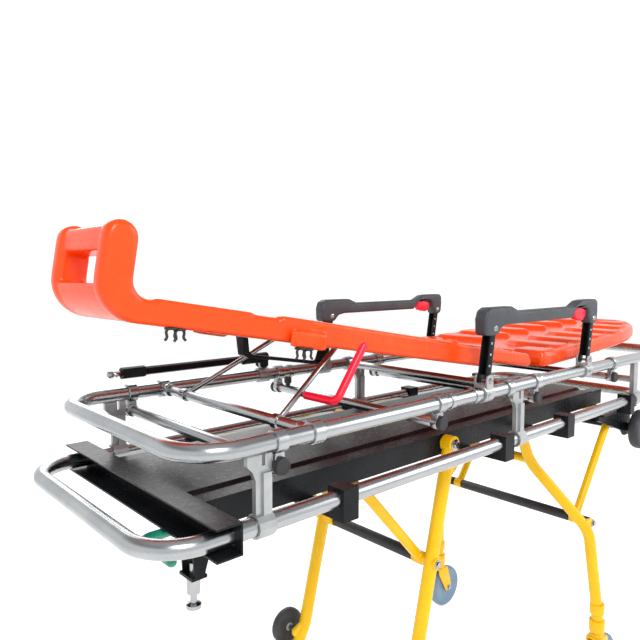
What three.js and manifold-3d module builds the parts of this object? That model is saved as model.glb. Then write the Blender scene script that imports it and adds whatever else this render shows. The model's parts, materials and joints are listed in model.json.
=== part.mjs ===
// Self-loading stretcher trolley: a detachable tube stretcher frame with a two-part
// moulded deck, docked on a wheeled undercarriage with two pairs of folding legs.
// Units are millimetres, +Z up, +X towards the loading (head) end, -Y the near side.
// The origin is on the floor under the middle of the trolley.
import * as THREE from 'three';
import * as BufferGeometryUtils from 'three/addons/utils/BufferGeometryUtils.js';
import Module from 'manifold-3d';

const wasm = await Module();
wasm.setup();

// ---- driving dimensions -------------------------------------------------------
const X0 = 857.3;           // distance from the upper loop's foot-end tube to the origin
const GAP = 0.3;            // clearance left between touching pieces
const RAIL_Y = 243.5;       // half spacing of the side rails
const RAIL_R = 14;          // frame tube radius
const UPPER_Z = 870;        // upper (stretcher) rail height
const LOWER_Z = 752;        // lower (undercarriage) rail height
const CORNER = 76;          // bend radius of the frame loops
const UPPER_FOOT = 0, UPPER_HEAD = 1700;
const LOWER_FOOT = -58, LOWER_HEAD = 1545;
const UNDER_Z = 834;        // height of the under bars
const BAR_R = 9.5;           // cross bar radius
const BAR_Z = 870;         // height of the main cross bars
const HIP_X = 975;         // deck hinge
const HIP_Z = 897;
const DECK_TILT = 9.8;     // leg section angle with the prop up, degrees
const DECK_T = 35;          // back section thickness
const BACK_TILT = 2.5;      // back section angle, degrees
const LEG_T = 27;           // leg section thickness, without its skirts
const DECK_UNDER = 12.5;     // board underside below the hip axis
const PROP_ANGLE = 29.5;    // prop angle, degrees
const PROP_LEN = 213;     // prop hinge to its top rod
const POST_LEN = 107;       // guard rail post, pivot to pivot
const POST_LEAN = 9.8;       // lean of the posts, degrees
const WHEEL_R = 65;
const FOOT_PIVOT = [669, 750];  // foot-end leg axle, distance and height
const HEAD_PIVOT = [1072, 701]; // head-end leg axle
const LOAD_WHEEL = [1495, 655]; // loading wheel axle
const POLE_X = 476, POLE_PIVOT_Z = 897, POLE_Z = 912; // folded drip pole

const X = (s) => s - X0;
const DEG = Math.PI / 180;
const V = (x, y, z) => new THREE.Vector3(x, y, z);

// ---- materials ------------------------------------------------------------------
const mat = (color, roughness, metalness) => new THREE.MeshStandardMaterial({ color, roughness, metalness });
const ALU = mat(0xb4b8bd, 0.34, 0.9);
const CAST = mat(0xa3a8ad, 0.5, 0.8);
const BLACK = mat(0x17181b, 0.45, 0.5);
const STEEL = mat(0xc6c9cd, 0.25, 1.0);
const ORANGE = mat(0xff4f12, 0.32, 0.0);
const YELLOW = mat(0xffd400, 0.3, 0.1);
const GRIP = mat(0x2c2f34, 0.6, 0.0);
const RED = mat(0xe3162f, 0.45, 0.0);
const GREEN = mat(0x0f9a7c, 0.4, 0.0);
const TYRE = mat(0x6d8396, 0.7, 0.0);
const DARKTYRE = mat(0x3a3d42, 0.75, 0.0);

// ---- geometry helpers -------------------------------------------------------------
function clean(g) {
  let q = g.index ? g.clone() : g.clone();
  for (const a of Object.keys(q.attributes)) if (a !== 'position') q.deleteAttribute(a);
  q.clearGroups();
  q = BufferGeometryUtils.mergeVertices(q, 1e-3);
  const p = q.attributes.position, ix = q.index.array, keep = [];
  let vol = 0;
  for (let i = 0; i < ix.length; i += 3) {
    const [a, b, c] = [ix[i], ix[i + 1], ix[i + 2]];
    if (a === b || b === c || a === c) continue;
    keep.push(a, b, c);
    const A = V().fromBufferAttribute(p, a), B = V().fromBufferAttribute(p, b), C = V().fromBufferAttribute(p, c);
    vol += A.dot(B.cross(C));
  }
  if (vol < 0) for (let i = 0; i < keep.length; i += 3) { const t = keep[i + 1]; keep[i + 1] = keep[i + 2]; keep[i + 2] = t; }
  q.setIndex(keep);
  return q;
}
function toSolid(g) {
  const q = clean(g);
  return new wasm.Manifold(new wasm.Mesh({
    numProp: 3,
    vertProperties: new Float32Array(q.attributes.position.array),
    triVerts: new Uint32Array(q.index.array),
  }));
}
function fromSolid(m) {
  const k = m.getMesh();
  const g = new THREE.BufferGeometry();
  g.setAttribute('position', new THREE.BufferAttribute(new Float32Array(k.vertProperties), 3));
  g.setIndex(new THREE.BufferAttribute(new Uint32Array(k.triVerts), 1));
  return g;
}
function join(list, cuts = []) {
  let m = toSolid(list[0]);
  for (const g of list.slice(1)) m = m.add(toSolid(g));
  for (const g of cuts) m = m.subtract(toSolid(g));
  return fromSolid(m);
}
const move = (g, x, y, z) => g.clone().translate(x, y, z);
const box = (x0, x1, y0, y1, z0, z1) => new THREE.BoxGeometry(x1 - x0, y1 - y0, z1 - z0)
  .translate((x0 + x1) / 2, (y0 + y1) / 2, (z0 + z1) / 2);
// Cylinder between two points.
function rod(a, b, r, n = 12, r2 = r) {
  const A = V(...a), B = V(...b), d = B.clone().sub(A), L = d.length();
  const g = new THREE.CylinderGeometry(r2, r, L, n);
  const q = new THREE.Quaternion().setFromUnitVectors(V(0, 1, 0), d.normalize());
  return g.applyQuaternion(q).translate((A.x + B.x) / 2, (A.y + B.y) / 2, (A.z + B.z) / 2);
}
// Round clearance hole whose flats stay outside radius r.
const bore = (a, b, r, n = 10) => rod(a, b, r / Math.cos(Math.PI / n), n);
const boreY = (x, z, y0, y1, r, n = 10) => bore([x, y0, z], [x, y1, z], r, n);
const ring = (x, y, z, r, w, n = 12) => rod([x - w / 2, y, z], [x + w / 2, y, z], r, n);
const pinY = (x, z, y0, y1, r, n = 10) => rod([x, y0, z], [x, y1, z], r, n);
// A route that is sampled exactly at its own points, so straight runs need no rings.
class Route extends THREE.Curve {
  constructor(pts, closed = false) { super(); this.pts = pts; this.closed = closed; this.n = closed ? pts.length : pts.length - 1; }
  at(i) { const m = this.pts.length; return this.pts[this.closed ? ((i % m) + m) % m : Math.max(0, Math.min(m - 1, i))]; }
  getPoint(t) {
    const f = t * this.n, i = Math.round(f);
    if (Math.abs(f - i) < 1e-6) return this.at(i).clone();
    const k = Math.floor(f); return this.at(k).clone().lerp(this.at(k + 1), f - k);
  }
  getPointAt(u) { return this.getPoint(u); }
  getTangent(t) {
    const i = Math.round(t * this.n);
    const a = this.at(i).clone().sub(this.closed || i > 0 ? this.at(i - 1) : this.at(i));
    const b = this.at(i + 1).clone().sub(this.at(i));
    if (a.length() > 0) a.normalize(); if (b.length() > 0) b.normalize();
    return a.add(b).normalize();
  }
  getTangentAt(u) { return this.getTangent(u); }
}
// Rounds the corners of a polyline.
function fillet(pts, radius, closed = false, step = 15) {
  const P = pts.map((p) => V(...p)), out = [], n = P.length;
  for (let i = 0; i < n; i++) {
    if (!closed && (i === 0 || i === n - 1)) { out.push(P[i]); continue; }
    const p = P[i], a = P[(i + n - 1) % n].clone().sub(p), b = P[(i + 1) % n].clone().sub(p);
    const la = a.length(), lb = b.length(); a.normalize(); b.normalize();
    const ang = Math.acos(THREE.MathUtils.clamp(a.dot(b), -1, 1)), turn = Math.PI - ang;
    if (turn < 0.02) { out.push(p); continue; }
    const r = Array.isArray(radius) ? radius[i] : radius;
    const t = Math.min(r * Math.tan(turn / 2), la * 0.48, lb * 0.48), rr = t / Math.tan(turn / 2);
    const c = p.clone().add(a.clone().add(b).normalize().multiplyScalar(rr / Math.cos(turn / 2)));
    const s = p.clone().addScaledVector(a, t).sub(c), e = p.clone().addScaledVector(b, t).sub(c);
    const k = Math.max(2, Math.round(turn / DEG / step));
    const axis = s.clone().cross(e).normalize();
    for (let j = 0; j <= k; j++) out.push(c.clone().add(s.clone().applyAxisAngle(axis, turn * j / k)));
  }
  return out;
}
function circle(r, n = 14) {
  const p = []; for (let i = 0; i < n; i++) p.push(new THREE.Vector2(r * Math.cos(2 * Math.PI * i / n), r * Math.sin(2 * Math.PI * i / n)));
  return new THREE.Shape(p);
}
function tube(pts, r, radius = 40, n = 10, step = 22) {
  const path = new Route(fillet(pts, radius, false, step));
  return new THREE.ExtrudeGeometry(circle(r, n), { steps: path.n, extrudePath: path, bevelEnabled: false });
}
function loop(pts, r, radius, n = 12, step = 22) {
  const path = new Route(fillet(pts, radius, true, step), true);
  return new THREE.TubeGeometry(path, path.n, r, n, true);
}
// Outline in X/Z extruded along Y, and outline in X/Y extruded along Z.
function shapeOf(pts) { return new THREE.Shape(pts.map(([a, b]) => new THREE.Vector2(a, b))); }
function plateXZ(pts, y0, y1, holes = []) {
  const s = shapeOf(pts); for (const h of holes) s.holes.push(new THREE.Path(h.map(([a, b]) => new THREE.Vector2(a, b))));
  return new THREE.ExtrudeGeometry(s, { depth: y1 - y0, bevelEnabled: false }).rotateX(Math.PI / 2).translate(0, y1, 0);
}
function plateXY(pts, z0, z1) { return new THREE.ExtrudeGeometry(shapeOf(pts), { depth: z1 - z0, bevelEnabled: false }).translate(0, 0, z0); }
function plateYZ(pts, x0, x1, holes = []) {
  const s = shapeOf(pts); for (const h of holes) s.holes.push(new THREE.Path(h.map(([a, b]) => new THREE.Vector2(a, b))));
  return new THREE.ExtrudeGeometry(s, { depth: x1 - x0, bevelEnabled: false }).rotateX(Math.PI / 2).rotateZ(Math.PI / 2).translate(x0, 0, 0);
}
function roundRect(x0, x1, y0, y1, r, k = 4) {
  const p = [];
  const c = [[x1 - r, y1 - r, 0], [x0 + r, y1 - r, 90], [x0 + r, y0 + r, 180], [x1 - r, y0 + r, 270]];
  for (const [cx, cy, a0] of c) for (let i = 0; i <= k; i++) {
    const a = (a0 + 90 * i / k) * DEG; p.push([cx + r * Math.cos(a), cy + r * Math.sin(a)]);
  }
  return p;
}
const rotY = (g, x, z, deg) => g.clone().translate(-x, 0, -z).rotateY(deg * DEG).translate(x, 0, z);

// ---- scene graph ------------------------------------------------------------------
const group = new THREE.Group();
const undercarriage = new THREE.Group(), stretcher = new THREE.Group(), deck = new THREE.Group();
const footLegs = new THREE.Group(), headLegs = new THREE.Group();
group.add(undercarriage, stretcher, footLegs, headLegs); stretcher.add(deck);
// Puts a piece, drawn in trolley coordinates, at its own reference point.
function put(parent, name, g, material, at = [0, 0, 0]) {
  const m = new THREE.Mesh(clean(g).translate(-at[0], -at[1], -at[2]), material);
  m.name = name; m.position.set(...at); parent.add(m); return m;
}
const SIDES = [['near', -1], ['far', 1]];

// ---- lower frame and chassis ----------------------------------------------------------
const lowerLoop = loop([[X(LOWER_FOOT), -RAIL_Y, LOWER_Z], [X(LOWER_HEAD), -RAIL_Y, LOWER_Z], [X(LOWER_HEAD), RAIL_Y, LOWER_Z], [X(LOWER_FOOT), RAIL_Y, LOWER_Z]], RAIL_R, CORNER);
put(undercarriage, 'lower_frame_loop', lowerLoop, ALU);
const upperLoopPts = [[X(UPPER_FOOT), -RAIL_Y, UPPER_Z], [X(UPPER_HEAD), -RAIL_Y, UPPER_Z], [X(UPPER_HEAD), RAIL_Y, UPPER_Z], [X(UPPER_FOOT), RAIL_Y, UPPER_Z]];
const upperLoop = loop(upperLoopPts, RAIL_R, CORNER);
// Bores that take the side rails with a little clearance.
const lowerBores = (x0, x1) => SIDES.map(([, k]) => bore([x0 - 5, k * RAIL_Y, LOWER_Z], [x1 + 5, k * RAIL_Y, LOWER_Z], RAIL_R + GAP, 12));
const railBore = (x0, x1, k, z) => bore([x0, k * RAIL_Y, z], [x1, k * RAIL_Y, z], RAIL_R + GAP, 12);

// Foot-end cross channel, open towards the foot end, threaded on the lower rails.
{
  const x0 = X(18), x1 = X(60), t = 3, zb = LOWER_Z - 20, zt = LOWER_Z + 27;
  const c = plateXZ([[x0, zb], [x1, zb], [x1, zt], [x0, zt], [x0, zt - t], [x1 - t, zt - t], [x1 - t, zb + t], [x0, zb + t]], -272, 272);
  put(undercarriage, 'foot_channel', join([c], lowerBores(x0, x1)), BLACK, [x1, 0, LOWER_Z]);
}
// Chassis side rails (C sections) and the folded tray cover on them.
for (const [side, k] of SIDES) {
  const o = k * 150, i = k * 122, t = 3 * k, zb = LOWER_Z - 28, zt = LOWER_Z + 14;
  const c = plateYZ([[o, zb], [o, zt], [i, zt], [i, zt - 3], [o - t, zt - 3], [o - t, zb + 3], [i, zb + 3], [i, zb]], X(61), X(1452));
  const [hs, hz] = HEAD_PIVOT, y0 = Math.min(k * 122, k * 127), y1 = Math.max(k * 122, k * 127);
  const lug = plateXZ([[X(hs) - 24, zb + 1], [X(hs) - 13, hz - 14], [X(hs) + 13, hz - 14], [X(hs) + 24, zb + 1]], y0, y1);
  const g = join([c, lug]);
  const holes = [boreY(X(FOOT_PIVOT[0]), FOOT_PIVOT[1], k * 136 - 30, k * 136 + 30, 11.3), boreY(X(hs), hz, k * 125 - 8, k * 125 + 8, 10.3)];
  put(undercarriage, 'chassis_rail_' + side, join([g], holes), BLACK, [X(700), k * 136, LOWER_Z]);
}
{
  const z = LOWER_Z + 14.4;
  const top = [[-152, z], [152, z], [152, z + 3], [118, z + 3], [108, z + 8], [-108, z + 8], [-118, z + 3], [-152, z + 3]];
  put(undercarriage, 'tray_cover', plateYZ(top, X(61), X(1380)), BLACK, [X(700), 0, z]);
}
// Cross members clamped round both lower rails.
[['foot', 277], ['mid', 753], ['head', 1030]].forEach(([n, s]) => {
  const x = X(s), w = 17;
  const parts = [box(x - w, x + w, -RAIL_Y + 10, RAIL_Y - 10, LOWER_Z - 35, LOWER_Z - 28.6)];
  for (const [, k] of SIDES) {
    parts.push(box(x - w, x + w, k * RAIL_Y - 19, k * RAIL_Y + 19, LOWER_Z - 35, LOWER_Z + 19));
  }
  put(undercarriage, 'cross_member_' + n, join(parts, lowerBores(x - w, x + w)), BLACK, [x, 0, LOWER_Z - 32]);
});
// Docking uprights: a clamp ring on the lower rail, a web, and a hooked saddle under the upper rail.
for (const [side, k] of SIDES) for (const [n, s] of [['foot', 112], ['mid', 812]]) {
  const x = X(s), y = k * RAIL_Y;
  const zt = UPPER_Z - 8, zl = LOWER_Z;
  const web = plateXZ([[x - 13, zl], [x + 13, zl], [x + 13, zt - 36], [x + 16, zt - 28], [x + 16, zt], [x + 4, zt], [x + 4, zt - 22], [x - 2, zt - 22], [x - 2, zt], [x - 27, zt], [x - 27, zt - 20], [x - 19, zt - 28], [x - 13, zt - 42]], y - 4.5, y + 4.5);
  const rib = box(x - 2, x + 13, y - 9, y + 9, zl, zt - 32);
  const g = join([web, rib, ring(x, y, LOWER_Z, 18.5, 30)], [railBore(x - 50, x + 50, k, LOWER_Z), railBore(x - 60, x + 60, k, UPPER_Z)]);
  put(undercarriage, 'dock_upright_' + n + '_' + side, g, CAST, [x, y, LOWER_Z]);
}
// Head-end docking bar: two uprights joined by a cross tube.
{
  const x = X(1448), parts = [rod([x, -RAIL_Y + 4, 808], [x, RAIL_Y - 4, 808], 9)], cuts = [];
  for (const [, k] of SIDES) {
    const y = k * RAIL_Y;
    parts.push(box(x - 13, x + 13, y - 6, y + 6, LOWER_Z, UPPER_Z - 8), ring(x, y, LOWER_Z, 18.5, 30));
    cuts.push(railBore(x - 50, x + 50, k, LOWER_Z), railBore(x - 60, x + 60, k, UPPER_Z));
  }
  put(undercarriage, 'dock_bar_head', join(parts, cuts), CAST, [x, 0, LOWER_Z]);
}
// Locking pin and its bracket under the foot channel.
{
  const x = X(85), y = -94, zt = LOWER_Z - 28.4, zm = 628;
  const b = join([
    plateXZ([[x - 14, zt], [x - 9, zm + 3], [x + 9, zm + 3], [x + 28, zt - 30], [x + 28, zt]], y - 20, y - 17),
    plateXZ([[x - 14, zt], [x - 9, zm + 3], [x + 9, zm + 3], [x + 28, zt - 30], [x + 28, zt]], y + 17, y + 20),
    box(x - 14, x + 28, y - 30, y + 20, zt - 3, zt),
    box(x - 14, x + 14, y - 20, y + 20, zm, zm + 5),
  ], [bore([x, y, zm - 9], [x, y, zm + 16], 6.3)]);
  put(undercarriage, 'lock_pin_bracket', b, BLACK, [x, y, zt]);
  const prof = [[0, 575], [12.5, 575], [12.5, 581], [5.5, 584], [5.5, 597], [8, 599], [11, 600], [11, zm - 0.3], [6, zm - 0.3], [6, zm + 22], [0, zm + 22]];
  const lathe = new THREE.LatheGeometry(prof.map(([r, z]) => new THREE.Vector2(r, z)), 16).rotateX(Math.PI / 2).translate(x, y, 0);
  put(undercarriage, 'lock_pin', lathe, STEEL, [x, y, 575]);
}
// Loading wheel carrier at the head end.
{
  const x = X(LOAD_WHEEL[0]), z = LOAD_WHEEL[1], parts = [rod([x, -226, z], [x, 226, z], 12.5, 8)];
  for (const [, k] of SIDES) {
    parts.push(plateXZ([[x - 200, 723], [x - 200, 704], [x - 36, z - 6], [x - 20, z - 22], [x + 14, z - 22], [x + 22, z - 6], [x + 12, z + 46], [x + 24, 723]], k * 210 - 4, k * 210 + 4));
    parts.push(box(x - 200, x + 24, k > 0 ? 206 : -228, k > 0 ? 228 : -206, 717, 723));
    parts.push(box(X(1386), X(1412), k * RAIL_Y - 19, k * RAIL_Y + 19, 717, LOWER_Z + 19));
    parts.push(rod([x, k * 206, z], [x, k * 268, z], 7, 8));
  }
  put(undercarriage, 'loading_wheel_carrier', join(parts, lowerBores(X(1386), X(1412))), BLACK, [x, 0, z]);
  for (const [side, k] of SIDES) {
    const w = [[7.8, -13], [40, -12], [44, -14.5], [53, -14.5], [57, -8], [57, 8], [53, 14.5], [44, 14.5], [40, 12], [7.8, 13], [7.8, -13]];
    const g = new THREE.LatheGeometry(w.map(([r, h]) => new THREE.Vector2(r, h)), 22).translate(x, k * 249, z);
    put(undercarriage, 'loading_wheel_' + side, g, DARKTYRE, [x, k * 249, z]);
  }
}
// Green release handle under the foot channel.
{
  const g = join([tube([[X(40), -112, 722], [X(-12), -112, 722], [X(-12), -204, 722]], 7.5, 16, 10), pinY(X(40), 722, -122, -102, 8.4)]);
  put(undercarriage, 'release_handle', g, GREEN, [X(40), -112, 722]);
}

// ---- stretcher frame ---------------------------------------------------------------------
{
  const lug = box(X(POLE_X - 7), X(POLE_X + 7), RAIL_Y - 6, RAIL_Y + 6, UPPER_Z + 8, POLE_PIVOT_Z);
  const lug2 = [lug, pinY(X(POLE_X), POLE_PIVOT_Z, RAIL_Y - 6, RAIL_Y + 6, 9)];
  put(stretcher, 'stretcher_frame_loop', join([upperLoop, ...lug2], [boreY(X(POLE_X), POLE_PIVOT_Z, RAIL_Y - 20, RAIL_Y + 20, 3.9)]), ALU);
}
const collar = (x, k, w = 22) => ring(x, k * RAIL_Y, UPPER_Z, 18, w);
[['foot', 215], ['mid', 765]].forEach(([n, s]) => {
  const x = X(s);
  const g = join([rod([x, -RAIL_Y, BAR_Z], [x, RAIL_Y, BAR_Z], BAR_R, 8), collar(x, -1), collar(x, 1)],
    [railBore(x - 40, x + 40, -1, UPPER_Z), railBore(x - 40, x + 40, 1, UPPER_Z)]);
  put(stretcher, 'cross_bar_' + n, g, ALU, [x, 0, BAR_Z]);
});
[['a', 142], ['b', 525], ['c', 880], ['d', 1290]].forEach(([n, s]) => {
  const x = X(s), z = UNDER_Z, parts = [rod([x, -250, z], [x, 250, z], BAR_R, 8)];
  for (const [, k] of SIDES) {
    const y = k * RAIL_Y;
    parts.push(collar(x, k, 20), box(x - 10, x + 10, y - 7, y + 7, UNDER_Z - 4, UPPER_Z - 4), pinY(x, UNDER_Z - 2, y - 7, y + 7, 8));
    parts.push(rod([x, k * 248, z], [x, k * 259, z], 13.5, 10));
  }
  put(stretcher, 'under_bar_' + n, join(parts, [railBore(x - 40, x + 40, -1, UPPER_Z), railBore(x - 40, x + 40, 1, UPPER_Z)]), ALU, [x, 0, z]);
});
// Spring plunger on the far end of the second under bar.
{
  const x = X(525), y = 205, z = UNDER_Z + BAR_R + GAP;
  const prof = [[0, 0], [6, 0], [6, 5], [9, 6], [9, 19], [7, 21], [0, 21]];
  const g = new THREE.LatheGeometry(prof.map(([r, h]) => new THREE.Vector2(r, h)), 12).rotateX(Math.PI / 2).translate(x, y, z);
  put(stretcher, 'plunger_knob', g, GRIP, [x, y, z]);
}

// ---- side guard rails ------------------------------------------------------------------------
const GUARD = [677, 1126], PIV_Z = 897;
const dx = POST_LEN * Math.sin(POST_LEAN * DEG), dz = POST_LEN * Math.cos(POST_LEAN * DEG);
for (const [side, k] of SIDES) {
  const y = k * RAIL_Y;
  GUARD.forEach((s, i) => {
    const x = X(s), n = i ? 'head' : 'foot';
    const parts = [ring(x, y, UPPER_Z, 18.5, 30)];
    for (const e of [-1, 1]) {
      parts.push(plateXZ([[x - 11, UPPER_Z + 4], [x + 11, UPPER_Z + 4], [x + 11, PIV_Z + 1], [x + 8, PIV_Z + 8], [x, PIV_Z + 11], [x - 8, PIV_Z + 8], [x - 11, PIV_Z + 1]], y + e * 13.6 - 2.3, y + e * 13.6 + 2.3));
    }
    parts.push(box(x - 11, x + 11, y - 15.9, y + 15.9, UPPER_Z + 3, UPPER_Z + 15.5));
    parts.push(pinY(x, PIV_Z, y - 17.5, y + 17.5, 3, 10));
    put(stretcher, `guard_bracket_${n}_${side}`, join(parts, [railBore(x - 40, x + 40, k, UPPER_Z)]), CAST, [x, y, UPPER_Z]);
    // Channel post between its two pivots, open towards the foot end.
    const L = POST_LEN, w = 10, t = 2.6;
    const web = box(x + 6.4, x + 9, y - w, y + w, PIV_Z + 10, PIV_Z + L - 10);
    const post = [web];
    for (const e of [-1, 1]) post.push(plateXZ([...roundRect(x - 9, x + 9, PIV_Z - 8, PIV_Z + L + 8, 8, 3)], y + e * (w - t / 2) - t / 2, y + e * (w - t / 2) + t / 2));
    post.push(pinY(x, PIV_Z + L, y - 13.6, y + 13.6, 3, 10));
    const g = rotY(join(post, [boreY(x, PIV_Z, y - 30, y + 30, 3.3, 10)]), x, PIV_Z, POST_LEAN);
    put(stretcher, `guard_post_${n}_${side}`, g, BLACK, [x, y, PIV_Z]);
  });
  // Grip: a long moulding with a deep pod over each post, open underneath over the posts.
  const a = X(GUARD[0]) + dx, b = X(GUARD[1]) + dx, pz = PIV_Z + dz, q = 14.5;
  const side2d = [[a - 34, pz - 13], [a - 8, pz - 15], [a + 11, pz - 14], [a + 27, pz + 1], [a + 48, pz + 5], [b - 112, pz + 5], [b - 88, pz + 17], [b - 38, pz + 17], [b - 24, pz + 6],
    [b - 13, pz - 13], [b + 6, pz - 15], [b + 19, pz - 8], [b + 22, pz + 16], [b + 21, pz + 40], [b + 13, pz + 47], [b - 48, pz + 47], [b - 70, pz + 45], [b - 102, pz + 32], [a + 96, pz + 32], [a + 66, pz + 43], [a - 16, pz + 43], [a - 30, pz + 37], [a - 36, pz + 20]];
  const body = plateXZ(side2d, y - q, y + q);
  const slots = [box(a - 50, a + 34, y - 10.4, y + 10.4, pz - 40, pz + 12), box(b - 21, b + 17, y - 10.4, y + 10.4, pz - 40, pz + 12), box(b + 15, b + 40, y - 10.4, y + 10.4, pz - 40, pz + 7),
    boreY(a, pz, y - q - 1, y + q + 1, 3.3, 10), boreY(b, pz, y - q - 1, y + q + 1, 3.3, 10),
    box(b - 90, b - 27, y - 7.3, y + 7.3, pz - 40, pz + 35)];
  put(stretcher, 'guard_grip_' + side, join([body], slots), GRIP, [a, y, pz]);
  // Trigger in its slot under the head-end pod.
  const tx = b - 84, tz = pz + 26;
  const tri = plateXZ([[b - 88, pz + 28], [b - 87, pz + 9], [b - 79, pz], [b - 71, pz + 3], [b - 65, pz - 3], [b - 58, pz], [b - 51, pz - 4], [b - 42, pz - 2], [b - 33, pz + 7], [b - 30, pz + 20], [b - 48, pz + 25], [b - 70, pz + 31]], y - 7, y + 7);
  put(stretcher, 'guard_trigger_' + side, tri, RED, [tx, y, tz]);
}

// ---- drip pole folded along the far rail ---------------------------------------------------
{
  const y = RAIL_Y, z = POLE_Z, px = X(POLE_X), pz = POLE_PIVOT_Z;
  const cheek = [[px - 11, z], [px - 11, pz - 4], [px - 5, pz - 9], [px + 5, pz - 9], [px + 11, pz - 4], [px + 11, z]];
  const g = join([
    rod([X(150), y, z], [X(470), y, z], 9, 8), rod([X(420), y, z], [px + 13, y, z], 12.5, 10), rod([X(122), y, z], [X(172), y, z], 12, 10),
    plateXZ(cheek, y - 11, y - 7), plateXZ(cheek, y + 7, y + 11),
  ], [box(px - 14, px + 14, y - 6.6, y + 6.6, 850, POLE_PIVOT_Z + 9.6), bore([X(90), y, z], [X(400), y, z], 5.8, 8)]);
  put(stretcher, 'drip_pole_outer', join([g, pinY(px, pz, y - 8, y + 8, 3.6, 8)]), BLACK, [px, y, pz]);
  const hook = join([rod([X(100), y, z], [X(390), y, z], 5.5, 8), rod([X(104), y - 20, z], [X(104), y + 20, z], 3.5, 10), new THREE.SphereGeometry(8, 12, 8).translate(X(100), y, z)]);
  put(stretcher, 'drip_pole_inner', hook, STEEL, [X(104), y, z]);
}

// ---- deck -------------------------------------------------------------------------------------
const under = HIP_Z - DECK_UNDER, top = under + DECK_T, HX = X(HIP_X);
const bevel = (outline, z0, h, b = 6) => new THREE.ExtrudeGeometry(shapeOf(outline), { depth: h - 2 * b, bevelEnabled: true, bevelSize: b, bevelOffset: -b, bevelThickness: b, bevelSegments: 1 }).translate(0, 0, z0 + b);
const mirrorY = (o) => [...o, ...o.slice().reverse().map(([u, v]) => [u, -v])];
// Leg section, drawn flat and then turned up about the hip.
{
  const outline = mirrorY([[-36, -206], [-62, -210], [-210, -207], [-380, -190], [-500, -174], [-700, -153], [-860, -124], [-940, -110], [-1000, -104]].map(([u, v]) => [HX + u, v]));
  const flat = bevel(outline, under, LEG_T), ltop = under + LEG_T;
  // Side skirts below the board, and a boss with a notch for the prop lever.
  const skirts = [];
  for (const [, k] of SIDES) {
    skirts.push(bevel([[HX - 1000, k * 78], [HX - 1000, k * 104], [HX - 940, k * 110], [HX - 860, k * 124], [HX - 700, k * 153], [HX - 500, k * 174], [HX - 380, k * 190], [HX - 236, k * 205.5], [HX - 236, k * 182], [HX - 500, k * 147], [HX - 700, k * 126], [HX - 860, k * 98]], under - 12, 22, 4));
    skirts.push(bevel([[HX - 746, k * 153.5], [HX - 746, k * 158], [HX - 700, k * 162], [HX - 665, k * 165], [HX - 665, k * 145], [HX - 715, k * 149]], under - 19.5, 30, 2));
  }
  // Footrest: two side posts that bend up from the board, and a set-back bar across their tops.
  const fx = HX - 1033, posts = [];
  const post = [];
  const arc = (cx, cz, r, a0, a1, n) => { for (let i = 0; i <= n; i++) { const a = (a0 + (a1 - a0) * i / n) * DEG; post.push([fx + cx + r * Math.cos(a), under + cz + r * Math.sin(a)]); } };
  post.push([fx + 150, under - 12]);
  arc(38, 48, 60, 270, 180, 6);
  arc(4, 109, 26, 180, 0, 7);
  arc(56, 53, 26, 180, 270, 5);
  post.push([fx + 150, under + LEG_T - 1]);
  for (const [, k] of SIDES) posts.push(plateXZ(post.map(([a, b]) => [a, b]), Math.min(k * 71, k * 104), Math.max(k * 71, k * 104)));
  const bar = box(fx - 16, fx + 27, -73, 73, under + 86, under + 124);
  const floor = plateXZ([[fx - 12, under + 20], [fx - 4, under + 2], [fx + 14, under - 9], [fx + 38, under - 11], [fx + 60, under - 11], [fx + 60, under + LEG_T - 2], [fx + 30, under + LEG_T + 3], [fx + 12, under + 30]], -73, 73);
  const knuckles = [];
  for (const [, k] of SIDES) knuckles.push(box(HX - 48, HX, k * 128 - 38, k * 128 + 38, HIP_Z - 9, HIP_Z + 9), pinY(HX, HIP_Z, k * 128 - 38, k * 128 + 38, 9.5));
  const g = join([flat, ...skirts, ...posts, bar, floor, ...knuckles]);
  put(deck, 'deck_leg_section', rotY(g, HX, HIP_Z, DECK_TILT), ORANGE, [HX, 0, HIP_Z]);
  // Rack bar under the leg section: a slotted strap on the centre line.
  const rx0 = HX - 742, rx1 = HX - 515, d = 50, zt = under - 0.3, zi = under - d + 6;
  const r = plateXZ([[rx0, zt], [rx0, zi - 6], [rx1, zi - 6], [rx1, zt], [rx1 - 8, zt], [rx1 - 8, zi], [rx0 + 8, zi], [rx0 + 8, zt]], -12, 8);
  put(deck, 'rack_bar', rotY(r, HX, HIP_Z, DECK_TILT), BLACK, [HX, 0, HIP_Z]);
}
// Back section: flat, with a tapered and rounded head end.
{
  const outline = mirrorY([[12, -206], [50, -210], [400, -209], [560, -192], [690, -152], [770, -106], [812, -55]].map(([u, v]) => [HX + u, v]));
  const flat = bevel(outline, under, DECK_T), ribs = [];
  for (const u of [110, 220, 330, 440, 550]) ribs.push(bevel(mirrorY([[HX + u - 16, -150], [HX + u + 16, -150]]), top - 8, 15, 4));
  const g = join([flat, ...ribs, pinY(HX, HIP_Z, -89.5, 89.5, 9.5), box(HX, HX + 34, -89.5, 89.5, HIP_Z - 9, HIP_Z + 9)]);
  put(deck, 'deck_back_section', rotY(g, HX, HIP_Z, -BACK_TILT), ORANGE, [HX, 0, HIP_Z]);
}
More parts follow.
